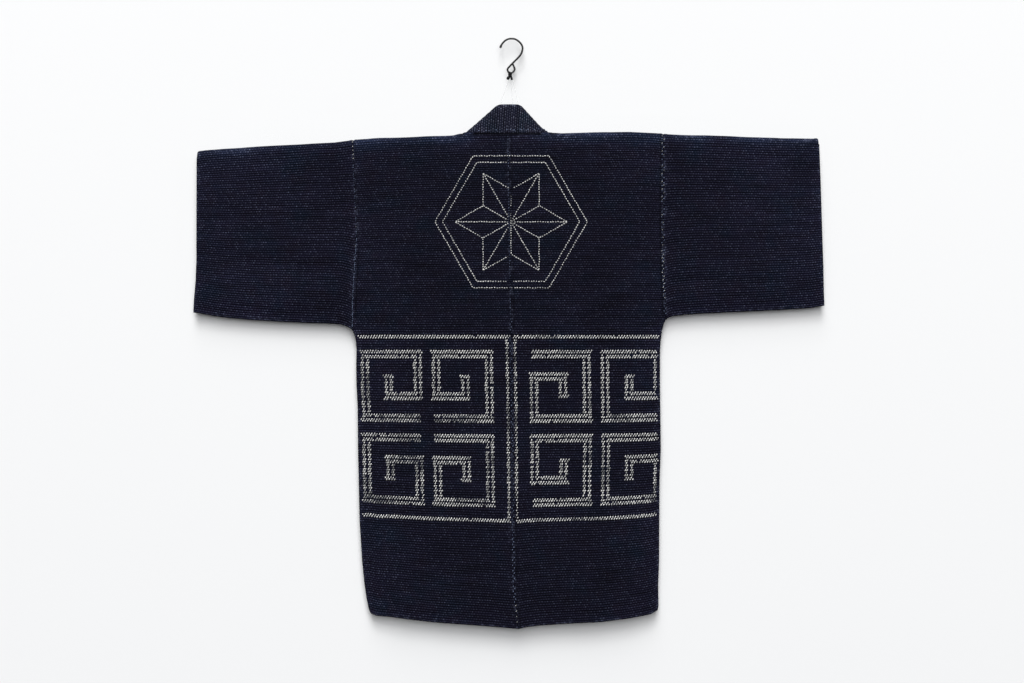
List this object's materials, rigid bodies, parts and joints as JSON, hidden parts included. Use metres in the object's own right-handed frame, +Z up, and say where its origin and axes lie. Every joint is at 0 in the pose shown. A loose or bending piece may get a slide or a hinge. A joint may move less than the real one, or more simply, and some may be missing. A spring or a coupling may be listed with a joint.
{
  "type": "fireman coat on a hanging rod with a wire hook",
  "caption": "Quilted wide-sleeved coat hung flat on a bowed rod through its sleeves, with clear threads up to a black wire hook.",
  "frame": {"origin": "inside of the hook's arch, where it sits on the nail or rail that carries it", "axes": "+Z up, the coat's back faces -Y and its front and the wall are on +Y, +X along the sleeves towards the wearer's right"},
  "size_m": [1.2636, 0.0309, 1.1827],
  "materials": {
    "indigo_cloth": "matt deep indigo cotton quilted with rows of running stitch",
    "collar_cloth": "matt indigo cotton band with close stitching across it",
    "white_stitch": "undyed cotton thread",
    "rod_wood": "smooth pale bamboo",
    "hook_wire": "black coated steel wire",
    "tie_cord": "black cord",
    "clear_thread": "clear nylon line"
  },
  "bodies": {
    "root": {"body_left": "indigo_cloth", "body_right": "indigo_cloth", "sleeve_left": "indigo_cloth", "sleeve_right": "indigo_cloth", "collar": "collar_cloth", "rod": "rod_wood", "hook": "hook_wire", "knot": "tie_cord", "thread_left": "clear_thread", "thread_middle": "clear_thread", "thread_right": "clear_thread"}
  },
  "joints": []
}
